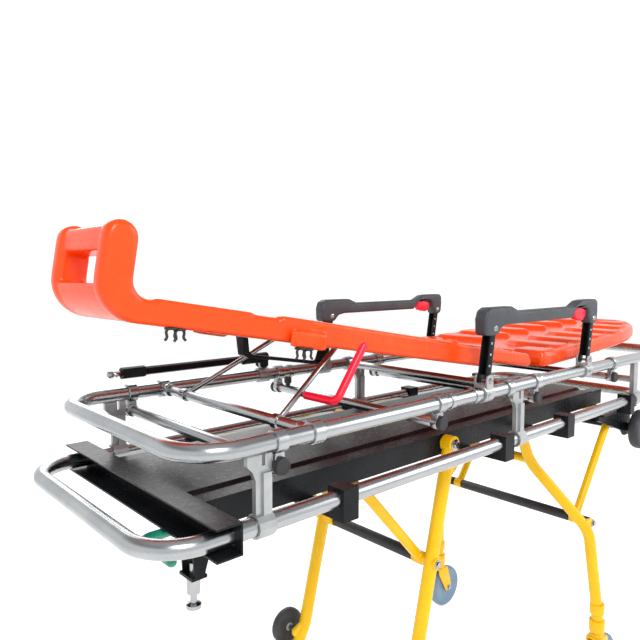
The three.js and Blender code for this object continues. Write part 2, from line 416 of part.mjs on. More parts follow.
// Leg section prop: two rods hinged on the foot cross bar, joined at the top, and its red lever.
{
  const px = X(215), pz = BAR_Z, c = Math.cos(PROP_ANGLE * DEG), s = Math.sin(PROP_ANGLE * DEG);
  const P = (r, o = 0) => [px + r * c - o * s, pz + r * s + o * c];
  const parts = [], y = 150, yt = 96, ly = -218;
  const [ax, az] = P(PROP_LEN);
  for (const [, k] of SIDES) parts.push(rod([px, k * y, pz], [ax, k * yt, az], 5, 10), pinY(px, pz, k * y - 8, k * y + 8, 12.5, 10));
  parts.push(pinY(ax, az, -yt, yt, 5, 10));
  const [lx, lz] = P(77, -6), sy = -y + 77 / PROP_LEN * (y - yt);
  parts.push(rod([lx, sy, lz], [lx, -176, lz], 4.2, 10));
  put(deck, 'leg_prop', join(parts, [boreY(px, pz, -300, 300, BAR_R + GAP, 8)]), STEEL, [px, 0, pz]);
  const e = 54 * DEG;
  const sleeve = join([tube([[lx, sy - 9, lz], [lx, ly, lz], [lx + 110 * Math.cos(e), ly, lz + 110 * Math.sin(e)]], 6.8, 13, 10)], [bore([lx, sy, lz], [lx, -176.4, lz], 4.5, 10)]);
  put(deck, 'prop_lever', sleeve, RED, [lx, ly, lz]);
}

// ---- casters ----------------------------------------------------------------------------------
// Wheel, and a swivel fork whose stem goes up into the leg's socket.
const SOCKET = 150;
function caster(parent, tag, sx, y, trail) {
  const wx = sx + trail, z = WHEEL_R;
  const wheel = [[6.6, -12], [45, -13.5], [58, -13.5], [WHEEL_R, -7], [WHEEL_R, 7], [58, 13.5], [45, 13.5], [6.6, 12], [6.6, -12]];
  put(parent, 'caster_wheel_' + tag, new THREE.LatheGeometry(wheel.map(([r, h]) => new THREE.Vector2(r, h)), 18).translate(wx, y, z), TYRE, [wx, y, z]);
  const cheek = (yy) => plateXZ([[wx - 10, z - 11], [wx + 10, z - 11], [wx + 12, z + 6], [sx + 22, 140], [sx - 22, 140], [wx - 12, z + 6]], yy - 1.8, yy + 1.8);
  const f = join([cheek(y - 17.5), cheek(y + 17.5), box(sx - 22, sx + 22, y - 19.3, y + 19.3, 135, 140), rod([sx, y, 138], [sx, y, SOCKET - 2], 17, 10),
    rod([sx, y, 142], [sx, y, SOCKET + 34], 6.4, 8), pinY(wx, z, y - 22, y + 22, 6, 8)]);
  put(parent, 'caster_fork_' + tag, f, YELLOW, [sx, y, 140]);
}

// Folding brace: two arms with eyes on the legs' cross bar, joined by a cross tube at the top.
const FOOT_BRACE = [[609.6, 507], [419, 712]];
const HEAD_BRACE = [[1219, 443], [1431, 711]];
function brace([lo, hi], y, r) {
  const eyes = SIDES.map(([, k]) => pinY(X(lo[0]), lo[1], k * y - 12, k * y + 12, 14, 10));
  return join([tube([[X(lo[0]), -y, lo[1]], [X(hi[0]), -y, hi[1]], [X(hi[0]), y, hi[1]], [X(lo[0]), y, lo[1]]], r, 50, 8, 30), ...eyes],
    [boreY(X(lo[0]), lo[1], -y - 30, y + 30, 9.8)]);
}

// ---- foot-end legs ----------------------------------------------------------------------------
{
  const [ps, pz] = FOOT_PIVOT, y = 168, R = 14.5, ex = 547, ez = 251, cx = 520, wx = 518, wz = 240;
  const parts = [pinY(X(ps), pz, -y, y, 11)], cuts = [];
  for (const [, k] of SIDES) {
    parts.push(tube([[X(ps), k * y, pz], [X(ex), k * y, ez], [X(cx), k * y, 200], [X(cx), k * y, SOCKET]], R, [0, 70, 30, 0]));
    parts.push(pinY(X(ps), pz, k * y - 13, k * y + 13, 18, 10), box(X(wx - 9), X(ex), k * y - 5, k * y + 5, wz - 11, wz + 11));
    parts.push(rod([X(wx), k * (y - 3), wz], [X(wx), k * 216, wz], 5.5, 10));
    cuts.push(bore([X(cx), k * y, 130], [X(cx), k * y, 190], 6.7));
  }
  const [bs, bz] = FOOT_BRACE[0];
  parts.push(rod([X(bs), -y, bz], [X(bs), y, bz], 9.5, 10));
  put(footLegs, 'foot_leg_frame', join(parts, cuts), YELLOW, [X(ps), 0, pz]);
  for (const [side, k] of SIDES) {
    const w = [[5.9, -9], [31, -7.5], [35, -10], [43, -7], [43, 7], [35, 10], [31, 7.5], [5.9, 9], [5.9, -9]];
    put(footLegs, 'elbow_wheel_' + side, new THREE.LatheGeometry(w.map(([r, h]) => new THREE.Vector2(r, h)), 16).translate(X(wx), k * 203, wz), DARKTYRE, [X(wx), k * 203, wz]);
    caster(footLegs, 'foot_' + side, X(cx), k * y, 30);
  }
  put(footLegs, 'foot_brace', brace(FOOT_BRACE, 136, 11), YELLOW, [X(bs), 0, bz]);
}

// ---- head-end legs ----------------------------------------------------------------------------
{
  const [ps, pz] = HEAD_PIVOT, R = 14.5, cx = 1215, cy = 262, [bs, bz] = HEAD_BRACE[0];
  const parts = [pinY(X(ps), pz, -130, 130, 10)], cuts = [];
  for (const [, k] of SIDES) {
    parts.push(tube([[X(ps), k * 100, pz], [X(1125), k * 104, 600], [X(1190), k * 243, 430], [X(cx), k * cy, 200], [X(cx), k * cy, SOCKET]], R, [0, 90, 90, 30, 0]));
    parts.push(box(X(1182), X(bs + 11), k * 236 - 5, k * 236 + 5, bz - 11, bz + 11));
    cuts.push(bore([X(cx), k * cy, 130], [X(cx), k * cy, 190], 6.7));
  }
  parts.push(rod([X(1122), -108, 608], [X(1122), 108, 608], 12, 10), rod([X(bs), -240, bz], [X(bs), 240, bz], 9.5, 10));
  put(headLegs, 'head_leg_frame', join(parts, cuts), YELLOW, [X(ps), 0, pz]);
  for (const [side, k] of SIDES) caster(headLegs, 'head_' + side, X(cx), k * cy, 30);
  put(headLegs, 'head_brace', brace(HEAD_BRACE, 190, 10.5), YELLOW, [X(bs), 0, bz]);
}

export default group;
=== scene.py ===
import bpy, bmesh, json, math
from mathutils import Vector, Matrix


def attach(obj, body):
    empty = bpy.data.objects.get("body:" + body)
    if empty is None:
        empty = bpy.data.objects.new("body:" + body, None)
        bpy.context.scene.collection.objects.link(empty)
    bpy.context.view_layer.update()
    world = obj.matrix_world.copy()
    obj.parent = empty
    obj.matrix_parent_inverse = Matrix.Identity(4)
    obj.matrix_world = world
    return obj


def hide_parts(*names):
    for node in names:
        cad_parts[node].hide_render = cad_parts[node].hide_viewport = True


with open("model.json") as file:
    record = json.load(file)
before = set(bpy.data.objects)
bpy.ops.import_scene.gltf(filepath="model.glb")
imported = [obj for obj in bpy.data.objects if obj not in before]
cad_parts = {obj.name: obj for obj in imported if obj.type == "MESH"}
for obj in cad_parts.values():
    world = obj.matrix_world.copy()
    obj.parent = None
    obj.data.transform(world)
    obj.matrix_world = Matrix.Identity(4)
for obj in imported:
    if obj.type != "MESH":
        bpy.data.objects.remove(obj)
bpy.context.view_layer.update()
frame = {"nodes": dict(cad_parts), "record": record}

X0 = 857.3                      # the upper loop's foot-end tube is this far from the origin, mm
RAIL_Y, UPPER_Z, LOWER_Z = 243.5, 870.0, 752.0
DEG = math.pi / 180
SIDES = (("near", -1), ("far", 1))
scene = bpy.context.scene


def P(s, y, z):
    return Vector(((s - X0) / 1000, y / 1000, z / 1000))


# ---- camera ----------------------------------------------------------------------------
cam = bpy.data.objects.new("camera", bpy.data.cameras.new("camera"))
scene.collection.objects.link(cam)
cam.data.sensor_width = 36.0
cam.data.lens = 36.0 * 614 / 640
cam.location = P(-404, -943, 1116)
yaw, pitch = 47.99 * DEG, 4.41 * DEG
cam.rotation_mode = "QUATERNION"
cam.rotation_quaternion = Vector((math.cos(pitch) * math.cos(yaw), math.cos(pitch) * math.sin(yaw), -math.sin(pitch))).to_track_quat("-Z", "Y")
cam.data.clip_start, cam.data.clip_end = 0.02, 60
scene.camera = cam
scene.view_settings.view_transform = "Standard"

# ---- materials --------------------------------------------------------------------------


def material(name, c1, c2, r1, r2, metal=0.0, scale=8.0, bump=0.0, grain=900.0, coat=0.0, stretch=(1, 1, 1), spec=0.5, grain2=None):
    m = bpy.data.materials.new(name)
    m.use_nodes = True
    nt = m.node_tree
    b = nt.nodes["Principled BSDF"]
    b.inputs["Metallic"].default_value = metal
    b.inputs["Coat Weight"].default_value = coat
    b.inputs["Coat Roughness"].default_value = 0.12
    b.inputs["Specular IOR Level"].default_value = spec
    tc = nt.nodes.new("ShaderNodeTexCoord")
    mp = nt.nodes.new("ShaderNodeMapping")
    mp.inputs["Scale"].default_value = stretch
    nt.links.new(tc.outputs["Object"], mp.inputs["Vector"])

    def noise(sc, detail=5.0, rough=0.55):
        n = nt.nodes.new("ShaderNodeTexNoise")
        n.inputs["Scale"].default_value = sc
        n.inputs["Detail"].default_value = detail
        n.inputs["Roughness"].default_value = rough
        nt.links.new(mp.outputs["Vector"], n.inputs["Vector"])
        return n

    a = noise(scale)
    ramp = nt.nodes.new("ShaderNodeValToRGB")
    ramp.color_ramp.elements[0].position, ramp.color_ramp.elements[1].position = 0.36, 0.64
    ramp.color_ramp.elements[0].color = (*c1, 1)
    ramp.color_ramp.elements[1].color = (*c2, 1)
    nt.links.new(a.outputs["Fac"], ramp.inputs["Fac"])
    nt.links.new(ramp.outputs["Color"], b.inputs["Base Color"])
    c = noise(scale * 6, 8.0, 0.65)
    rr = nt.nodes.new("ShaderNodeMapRange")
    rr.inputs["From Min"].default_value, rr.inputs["From Max"].default_value = 0.3, 0.7
    rr.inputs["To Min"].default_value, rr.inputs["To Max"].default_value = r1, r2
    nt.links.new(c.outputs["Fac"], rr.inputs["Value"])
    nt.links.new(rr.outputs["Result"], b.inputs["Roughness"])
    if bump:
        g = noise(grain, 3.0, 0.6)
        bp = nt.nodes.new("ShaderNodeBump")
        bp.inputs["Strength"].default_value = bump
        bp.inputs["Distance"].default_value = 0.0005
        nt.links.new(g.outputs["Fac"], bp.inputs["Height"])
        nt.links.new(bp.outputs["Normal"], b.inputs["Normal"])
    return m


MAT = {
    "alu_tube": material("satin_aluminium", (0.36, 0.375, 0.39), (0.45, 0.465, 0.475), 0.22, 0.30, 1.0, 10, 0.02, 300, stretch=(0.12, 1, 1)),
    "alu_cross": material("satin_aluminium_cross", (0.36, 0.375, 0.39), (0.45, 0.465, 0.475), 0.22, 0.30, 1.0, 10, 0.02, 300, stretch=(1, 0.12, 1)),
    "cast_alu": material("cast_aluminium", (0.36, 0.375, 0.38), (0.46, 0.47, 0.475), 0.36, 0.46, 0.8, 22, 0.20, 700),
    "black_steel": material("black_powder_coat", (0.006, 0.0065, 0.008), (0.012, 0.013, 0.015), 0.24, 0.34, 0.0, 14, 0.08, 900, spec=0.12),
    "bright_steel": material("bright_steel", (0.34, 0.35, 0.36), (0.44, 0.45, 0.46), 0.14, 0.24, 1.0, 16, 0.05, 500),
    "orange_plastic": material("orange_moulding", (0.84, 0.062, 0.003), (0.90, 0.075, 0.006), 0.20, 0.32, 0.0, 5, 0.06, 420, spec=0.32),
    "yellow_paint": material("yellow_powder_coat", (0.74, 0.42, 0.0), (0.80, 0.47, 0.002), 0.20, 0.30, 0.0, 6, 0.06, 300, spec=0.3),
    "black_plastic": material("charcoal_grip", (0.030, 0.034, 0.042), (0.042, 0.047, 0.056), 0.42, 0.58, 0.0, 18, 0.40, 1600),
    "red_plastic": material("red_moulding", (0.80, 0.004, 0.030), (0.88, 0.008, 0.040), 0.24, 0.36, 0.0, 14, 0.10, 900, spec=0.4),
    "green_paint": material("green_dipped", (0.005, 0.20, 0.125), (0.010, 0.26, 0.165), 0.30, 0.42, 0.0, 20, 0.15, 600, coat=0.2),
    "grey_tyre": material("grey_blue_rubber", (0.13, 0.20, 0.28), (0.17, 0.25, 0.34), 0.50, 0.66, 0.0, 24, 0.35, 1100),
    "dark_tyre": material("dark_rubber", (0.020, 0.022, 0.026), (0.034, 0.036, 0.042), 0.50, 0.66, 0.0, 24, 0.35, 1100),
    "rubber": material("black_rubber", (0.010, 0.010, 0.012), (0.020, 0.020, 0.023), 0.45, 0.62, 0.0, 24, 0.30, 1300),
    "hub": material("grey_hub", (0.24, 0.25, 0.27), (0.32, 0.33, 0.35), 0.35, 0.5, 0.0, 24, 0.2, 900),
}
SLOT = {p["node"]: p["material_slot"] for p in frame["record"]["subparts"]}

# ---- mesh helpers --------------------------------------------------------------------------


def fillet(pts, rad, closed=False, step=7.5):
    n, out = len(pts), []
    for i, p in enumerate(pts):
        if not closed and i in (0, n - 1):
            out.append(p.copy())
            continue
        a, b = pts[i - 1] - p, pts[(i + 1) % n] - p
        la, lb = a.length, b.length
        a.normalize(); b.normalize()
        turn = math.pi - a.angle(b)
        if turn < 0.02:
            out.append(p.copy())
            continue
        r = rad[i] if isinstance(rad, (list, tuple)) else rad
        t = min(r * math.tan(turn / 2), la * 0.48, lb * 0.48)
        rr = t / math.tan(turn / 2)
        c = p + (a + b).normalized() * (rr / math.cos(turn / 2))
        s, e = p + a * t - c, p + b * t - c
        axis = s.cross(e).normalized()
        k = max(2, round(turn / DEG / step))
        for j in range(k + 1):
            out.append(c + Matrix.Rotation(turn * j / k, 3, axis) @ s)
    return out


def sweep(bm, pts, r, rad=0.04, closed=False, seg=28, flat=1.0, up=None):
    """A round tube along a route, with softened ends. rad may be a list, one per route point."""
    pts = fillet([Vector(p) for p in pts], rad, closed)
    n = len(pts)
    rows, u = [], None
    for i, p in enumerate(pts):
        prev = pts[i - 1] if (closed or i) else p
        nxt = pts[(i + 1) % n] if (closed or i < n - 1) else p
        t = ((p - prev).normalized() + (nxt - p).normalized()).normalized()
        if u is None:
            u = (up or (Vector((0, 0, 1)) if abs(t.z) < 0.9 else Vector((1, 0, 0))))
        u = (u - t * u.dot(t)).normalized()
        v = t.cross(u)
        a = (p - prev).normalized() if p != prev else t
        cosh = max(0.5, abs(a.dot(t)))
        ends = [(0.0, 1.0)]
        if not closed and i == 0:
            ends = [(0.0, 0.86), (0.0012, 1.0)]
        if not closed and i == n - 1:
            ends = [(-0.0012, 1.0), (0.0, 0.86)]
        for off, k in ends:
            rows.append([bm.verts.new(p + t * off + (u * math.cos(2 * math.pi * j / seg) + v * math.sin(2 * math.pi * j / seg) * flat) * r * k) for j in range(seg)])
    m = len(rows)
    for i in range(m if closed else m - 1):
        A, B = rows[i], rows[(i + 1) % m]
        for j in range(seg):
            k = (j + 1) % seg
            bm.faces.new((A[j], A[k], B[k], B[j]))
    if not closed:
        bm.faces.new(rows[0]); bm.faces.new(rows[-1])


def lathe(bm, prof, origin, axis, seg=40, phase=0.0):
    """A turned shape: prof is (radius, distance along the axis), from end to end."""
    t = Vector(axis).normalized()
    u = t.orthogonal().normalized()
    v = t.cross(u)
    rows = []
    for r, h in prof:
        c = Vector(origin) + t * h
        if r < 1e-6:
            rows.append([bm.verts.new(c)])
        else:
            rows.append([bm.verts.new(c + (u * math.cos(2 * math.pi * j / seg + phase) + v * math.sin(2 * math.pi * j / seg + phase)) * r) for j in range(seg)])
    for A, B in zip(rows, rows[1:]):
        for j in range(seg):
            k = (j + 1) % seg
            if len(A) == 1 and len(B) == 1:
                continue
            if len(A) == 1:
                bm.faces.new((A[0], B[k], B[j]))
            elif len(B) == 1:
                bm.faces.new((A[j], A[k], B[0]))
            else:
                bm.faces.new((A[j], A[k], B[k], B[j]))
    for row in (rows[0], rows[-1]):
        if len(row) > 1:
            bm.faces.new(row)


def cyl(bm, a, b, r, seg=28, soft=0.001):
    a, b = Vector(a), Vector(b)
    L = (b - a).length
    soft = min(soft, r * 0.4, L * 0.3)
    lathe(bm, [(0, 0), (r - soft, 0), (r - soft * 0.3, soft * 0.3), (r, soft), (r, L - soft), (r - soft * 0.3, L - soft * 0.3), (r - soft, L), (0, L)], a, b - a, seg)


def bolt(bm, at, axis, r=0.0055, h=0.0045):
    """Hexagon head on a washer."""
    t = Vector(axis).normalized()
    lathe(bm, [(0, 0), (r * 1.45, 0), (r * 1.5, 0.0004), (r * 1.5, 0.0012), (r * 1.42, 0.0015), (0, 0.0015)], at, t, 24)
    lathe(bm, [(0, 0.0014), (r, 0.0014), (r, h * 0.8), (r * 0.86, h), (0, h)], at, t, 6)


def rivet(bm, at, axis, r=0.0035, h=0.0018):
    lathe(bm, [(r * 1.15, -0.0006), (r * 1.15, 0.0), (r * 0.95, h * 0.6), (r * 0.5, h * 0.95), (0, h)], at, axis, 20)


PLANES = {
    "XZ": Matrix(((1, 0, 0, 0), (0, 0, -1, 0), (0, 1, 0, 0), (0, 0, 0, 1))),
    "YZ": Matrix(((0, 0, 1, 0), (1, 0, 0, 0), (0, 1, 0, 0), (0, 0, 0, 1))),
    "XY": Matrix.Identity(4),
}


def smooth_outline(pts, r, step=10):
    """Rounds every corner of a flat outline, r in the outline's unit."""
    q = fillet([Vector((a, b, 0)) for a, b in pts], r, True, step)
    return [(v.x, v.y) for v in q]


def plate(bm, outline, thick, bevel, plane, at, holes=(), res=3, turn=None):
    """A flat outline (metres) with rounded edges, its middle plane at `at` along the plane's normal."""
    cu = bpy.data.curves.new("tmp", "CURVE")
    cu.dimensions = "2D"
    cu.fill_mode = "BOTH"
    bevel = min(bevel, thick / 2 - 1e-5)
    cu.extrude = thick / 2 - bevel
    cu.bevel_depth = bevel
    cu.offset = -bevel
    cu.bevel_resolution = res
    for loop in (outline, *holes):
        sp = cu.splines.new("POLY")
        sp.points.add(len(loop) - 1)
        for q, (a, b) in zip(sp.points, loop):
            q.co = (a, b, 0, 1)
        sp.use_cyclic_u = True
    o = bpy.data.objects.new("tmp", cu)
    scene.collection.objects.link(o)
    dg = bpy.context.evaluated_depsgraph_get()
    me = bpy.data.meshes.new_from_object(o.evaluated_get(dg))
    bpy.data.objects.remove(o); bpy.data.curves.remove(cu)
    normal = {"XZ": Vector((0, 1, 0)), "YZ": Vector((1, 0, 0)), "XY": Vector((0, 0, 1))}[plane]
    m = Matrix.Translation(normal * at) @ PLANES[plane]
    me.transform((turn or Matrix.Identity(4)) @ m)
    t = bmesh.new(); t.from_mesh(me)
    bmesh.ops.remove_doubles(t, verts=t.verts, dist=1e-6)
    bmesh.ops.recalc_face_normals(t, faces=t.faces)
    t.to_mesh(me); t.free()
    bm.from_mesh(me)
    bpy.data.meshes.remove(me)


def block(bm, lo, hi, r=0.0015, turn=None):
    """A block with rounded edges."""
    lo, hi = Vector(lo), Vector(hi)
    lo, hi = Vector([min(a, b) for a, b in zip(lo, hi)]), Vector([max(a, b) for a, b in zip(lo, hi)])
    t = bmesh.new()
    bmesh.ops.create_cube(t, size=1.0)
    for v in t.verts:
        v.co = Vector([(lo[i] + hi[i]) / 2 + v.co[i] * (hi[i] - lo[i]) for i in range(3)])
    bmesh.ops.bevel(t, geom=t.edges[:] + t.verts[:], offset=min(r, min(hi - lo) * 0.4), segments=3, profile=0.5, affect="EDGES")
    if turn:
        bmesh.ops.transform(t, matrix=turn, verts=t.verts)
    me = bpy.data.meshes.new("tmp"); t.to_mesh(me); t.free()
    bm.from_mesh(me); bpy.data.meshes.remove(me)


def piece(name, bm, body, mat, nodes=(), angle=38, fix=True):
    if fix:
        bmesh.ops.recalc_face_normals(bm, faces=bm.faces)
    me = bpy.data.meshes.new(name)
    bm.to_mesh(me); bm.free()
    for p in me.polygons:
        p.use_smooth = True
    me.set_sharp_from_angle(angle=angle * DEG)
    me.materials.append(MAT[mat])
    o = bpy.data.objects.new(name, me)
    scene.collection.objects.link(o)
    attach(o, body)
    if nodes:
        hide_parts(*nodes)
    return o


def melt(bm, voxel, passes=6, factor=0.5):
    """Joins overlapping shells into one skin and softens its creases, as a moulding has."""
    me = bpy.data.meshes.new("tmp"); bm.to_mesh(me)
    o = bpy.data.objects.new("tmp", me); scene.collection.objects.link(o)
    r = o.modifiers.new("r", "REMESH"); r.mode = "VOXEL"; r.voxel_size = voxel
    s = o.modifiers.new("s", "SMOOTH"); s.factor = factor; s.iterations = passes
    dg = bpy.context.evaluated_depsgraph_get()
    out = bpy.data.meshes.new_from_object(o.evaluated_get(dg))
    bpy.data.objects.remove(o); bpy.data.meshes.remove(me)
    bm.clear(); bm.from_mesh(out); bpy.data.meshes.remove(out)


new = bmesh.new
Yax, Zax, Xax = Vector((0, 1, 0)), Vector((0, 0, 1)), Vector((1, 0, 0))
RAD = 0.076

# ---- carried-over CAD nodes: material, soft edges ------------------------------------------
for name, o in frame["nodes"].items():
    slot = SLOT[name]
    for ms in o.material_slots:
        ms.link = "OBJECT"
        ms.material = MAT[slot]
    for p in o.data.polygons:
        p.use_smooth = True
    o.data.set_sharp_from_angle(angle=42 * DEG)
    b = o.modifiers.new("soft edges", "BEVEL")
    b.width, b.segments, b.limit_method, b.angle_limit = 0.0011, 2, "ANGLE", 48 * DEG
    b.harden_normals = False

# ---- frame loops ----------------------------------------------------------------------------
bm = new()
sweep(bm, [P(0, -RAIL_Y, UPPER_Z), P(1700, -RAIL_Y, UPPER_Z), P(1700, RAIL_Y, UPPER_Z), P(0, RAIL_Y, UPPER_Z)], 0.014, RAD, True, 40)
piece("upper_loop_tube", bm, "stretcher", "alu_tube", nodes=["stretcher_frame_loop"])
bm = new()
block(bm, P(469, RAIL_Y - 6, UPPER_Z + 10), P(483, RAIL_Y + 6, 899), 0.002)
cyl(bm, P(476, RAIL_Y - 6, 897), P(476, RAIL_Y + 6, 897), 0.009)
cyl(bm, P(461, RAIL_Y, UPPER_Z), P(491, RAIL_Y, UPPER_Z), 0.0175)
piece("pole_hinge_lug", bm, "stretcher", "cast_alu")
bm = new()
sweep(bm, [P(-58, -RAIL_Y, LOWER_Z), P(1545, -RAIL_Y, LOWER_Z), P(1545, RAIL_Y, LOWER_Z), P(-58, RAIL_Y, LOWER_Z)], 0.014, RAD, True, 40)
piece("lower_loop_tube", bm, "undercarriage", "alu_tube", nodes=["lower_frame_loop"])


def collar(bm, s, k, z, r=0.018, w=22, boss=True):
    """Clamp collar ring on a side rail, with chamfered edges; boss is not used."""
    h = w / 2000
    g = 0.0012
    prof = [(0.0142, -h), (r - g, -h), (r, -h + g), (r, h - g), (r - g, h), (0.0142, h)]
    lathe(bm, prof, P(s, k * RAIL_Y, z), Xax, 36)


# Cross bars: tube, collars and end sockets; the prop's hinge on the foot one is built with the prop.
for n, s in (("foot", 215), ("mid", 765)):
    bm = new()
    cyl(bm, P(s, -RAIL_Y + 14, UPPER_Z), P(s, RAIL_Y - 14, UPPER_Z), 0.0095, 32)
    for _, k in SIDES:
        collar(bm, s, k, UPPER_Z)
        cyl(bm, P(s, k * (RAIL_Y - 13), UPPER_Z), P(s, k * (RAIL_Y - 34), UPPER_Z), 0.0125, 32)
        cyl(bm, P(s, k * (RAIL_Y - 24), UPPER_Z + 11.5), P(s, k * (RAIL_Y - 24), UPPER_Z + 14.5), 0.003, 16)
    piece("cross_bar_%s_tube" % n, bm, "stretcher", "alu_cross", nodes=["cross_bar_" + n])
bm = new()
for s, z, body in ((560, UPPER_Z, 0), (640, UPPER_Z, 0), (900, UPPER_Z, 0)):
    for _, k in SIDES:
        collar(bm, s, k, z, 0.0165, 12)
piece("rail_stop_rings", bm, "stretcher", "alu_tube")

# Under bars: tube, hanging tabs with clamp rings, and black end caps.
for n, s in (("a", 142), ("b", 525), ("c", 880), ("d", 1290)):
    bm = new()
    z = 834
    cyl(bm, P(s, -249, z), P(s, 249, z), 0.0095, 32)
    for _, k in SIDES:
        collar(bm, s, k, UPPER_Z, 0.018, 20)
        out = smooth_outline([(-0.010, -0.036), (0.010, -0.036), (0.0085, -0.010), (-0.0085, -0.010)], 0.002)
        plate(bm, [(a + P(s, 0, 0).x, b + UPPER_Z / 1000) for a, b in out], 0.014, 0.002, "XZ", k * RAIL_Y / 1000)
        cyl(bm, P(s, k * (RAIL_Y - 9), z), P(s, k * (RAIL_Y + 5.5), z), 0.0128, 32)
    piece("under_bar_%s_metal" % n, bm, "stretcher", "alu_cross", nodes=["under_bar_" + n])
    bm = new()
    for _, k in SIDES:
        lathe(bm, [(0, 0), (0.0128, 0), (0.0138, 0.001), (0.0138, 0.007), (0.0128, 0.0092), (0.0105, 0.0100), (0.0098, 0.0092), (0, 0.0092)], P(s, k * 249, z), Vector((0, k, 0)), 36)
    piece("under_bar_%s_caps" % n, bm, "stretcher", "rubber")

# ---- deck -----------------------------------------------------------------------------------
HIP = P(975, 0, 897)
TILT = Matrix.Translation(HIP) @ Matrix.Rotation(9.8 * DEG, 4, "Y")
FLAT = Matrix.Translation(HIP) @ Matrix.Rotation(-2.5 * DEG, 4, "Y")
U, T, TB = -0.0125, 0.0145, 0.0225            # underside and top of the board, from the hip axis


def spline(knots, u):
    """Smooth value at u through sorted (u, value) knots."""
    if u <= knots[0][0]:
        return knots[0][1]
    if u >= knots[-1][0]:
        return knots[-1][1]
    for i in range(len(knots) - 1):
        (a, p), (b, q) = knots[i], knots[i + 1]
        if a <= u <= b:
            p0 = knots[i - 1] if i else (2 * a - b, p)
            q0 = knots[i + 2] if i + 2 < len(knots) else (2 * b - a, q)
            m1, m2 = (q - p0[1]) / (b - p0[0]), (q0[1] - p) / (q0[0] - a)
            h, t = b - a, (u - a) / (b - a)
            return p * (2 * t**3 - 3 * t**2 + 1) + m1 * h * (t**3 - 2 * t**2 + t) + q * (-2 * t**3 + 3 * t**2) + m2 * h * (t**3 - t**2)


def board(bm, knots, T=T, rim=0.030, dish=0.005, r=0.011, n=110, steps=()):
    """A moulded board: rounded edge, and a shallow dish inside a rim. knots are (u, half width)."""
    u0, u1 = knots[0][0], knots[-1][0]
    rows = []
    for i in range(n + 1):
        t = i / n
        u = u0 + (u1 - u0) * t
        w = spline(knots, u)
        e = min(u - u0, u1 - u)
        k = 1.0 if e >= r else math.sqrt(max(0.0, 1 - ((r - e) / r) ** 2))
        inset = r * (1 - k)
        lo, hi = U + inset * 0.9, T - inset * 0.9
        w -= inset * 0.4
        depth = dish * min(1.0, max(0.0, (e - rim) / 0.012))
        side = []
        for j in range(7):
            a = -90 * DEG + 90 * DEG * j / 6
            side.append((w - r + r * math.cos(a), lo + r * 0.8 + r * 0.8 * math.sin(a)))
        for j in range(7):
            a = 90 * DEG * j / 6
            side.append((w - r + r * math.cos(a), hi - r + r * math.sin(a)))
        top = [(w - rim, hi), (w - rim - 0.010, hi - depth), (0.0, hi - depth)]
        bot = [(0.0, lo), (w * 0.5, lo)]
        half = bot + side + top
        ring = [(v, z) for v, z in half] + [(-v, z) for v, z in reversed(half[1:-1])]
        rows.append([bm.verts.new((u, v, z)) for v, z in ring])
    for A, B in zip(rows, rows[1:]):
        for j in range(len(A)):
            k = (j + 1) % len(A)
            bm.faces.new((A[j], A[k], B[k], B[j]))
    bm.faces.new(rows[0]); bm.faces.new(rows[-1])


LEG = [(-1.000, 0.104), (-0.940, 0.110), (-0.860, 0.124), (-0.700, 0.153), (-0.520, 0.171), (-0.380, 0.190), (-0.210, 0.206), (-0.065, 0.209), (-0.037, 0.206)]
bm = new()
board(bm, LEG)
fx = -1.033
# footrest: two side posts that bend up from the board, a set-back top bar and a curved floor between them


def jay(x0, x1, low, outer, top, inner, seat, tail):
    """Side view of a post: it runs along the board from tail and bends up; front face x0, back face x1."""
    pts = [(tail, low)]
    for i in range(11):
        a = (270 - 90 * i / 10) * DEG
        pts.append((x0 + outer + outer * math.cos(a), low + outer + outer * math.sin(a)))
    r = (x1 - x0) / 2
    for i in range(13):
        a = (180 - 180 * i / 12) * DEG
        pts.append((x0 + r + r * math.cos(a), top - r + r * math.sin(a)))
    for i in range(9):
        a = (180 + 90 * i / 8) * DEG
        pts.append((x1 + inner + inner * math.cos(a), seat + inner + inner * math.sin(a)))
    pts.append((tail, seat))
    return pts


for k in (-1, 1):
    plate(bm, jay(fx - 0.0225, fx + 0.0305, U - 0.012, 0.062, U + 0.1355, 0.027, T, fx + 0.150), 0.034, 0.012, "XZ", 0.0, (), 5, Matrix.Translation((0, k * 0.0875, 0)))
base = [(fx - 0.0195 + 0.058 + 0.058 * math.cos((180 + 9 * i) * DEG), U - 0.0105 + 0.058 + 0.058 * math.sin((180 + 9 * i) * DEG)) for i in range(1, 11)]
plate(bm, base + [(fx + 0.080, U - 0.0105), (fx + 0.080, T - 0.002), (fx + 0.044, T + 0.001), (fx + 0.030, T + 0.008), (fx + 0.024, T + 0.018), (fx + 0.014, T + 0.010), (fx + 0.004, T + 0.012)], 0.150, 0.004, "XZ", 0.0, (), 3)
plate(bm, smooth_outline([(fx - 0.0165, U + 0.088), (fx + 0.0285, U + 0.086), (fx + 0.0285, U + 0.128), (fx - 0.0165, U + 0.124)], 0.005), 0.150, 0.003, "XZ", 0.0, (), 3)
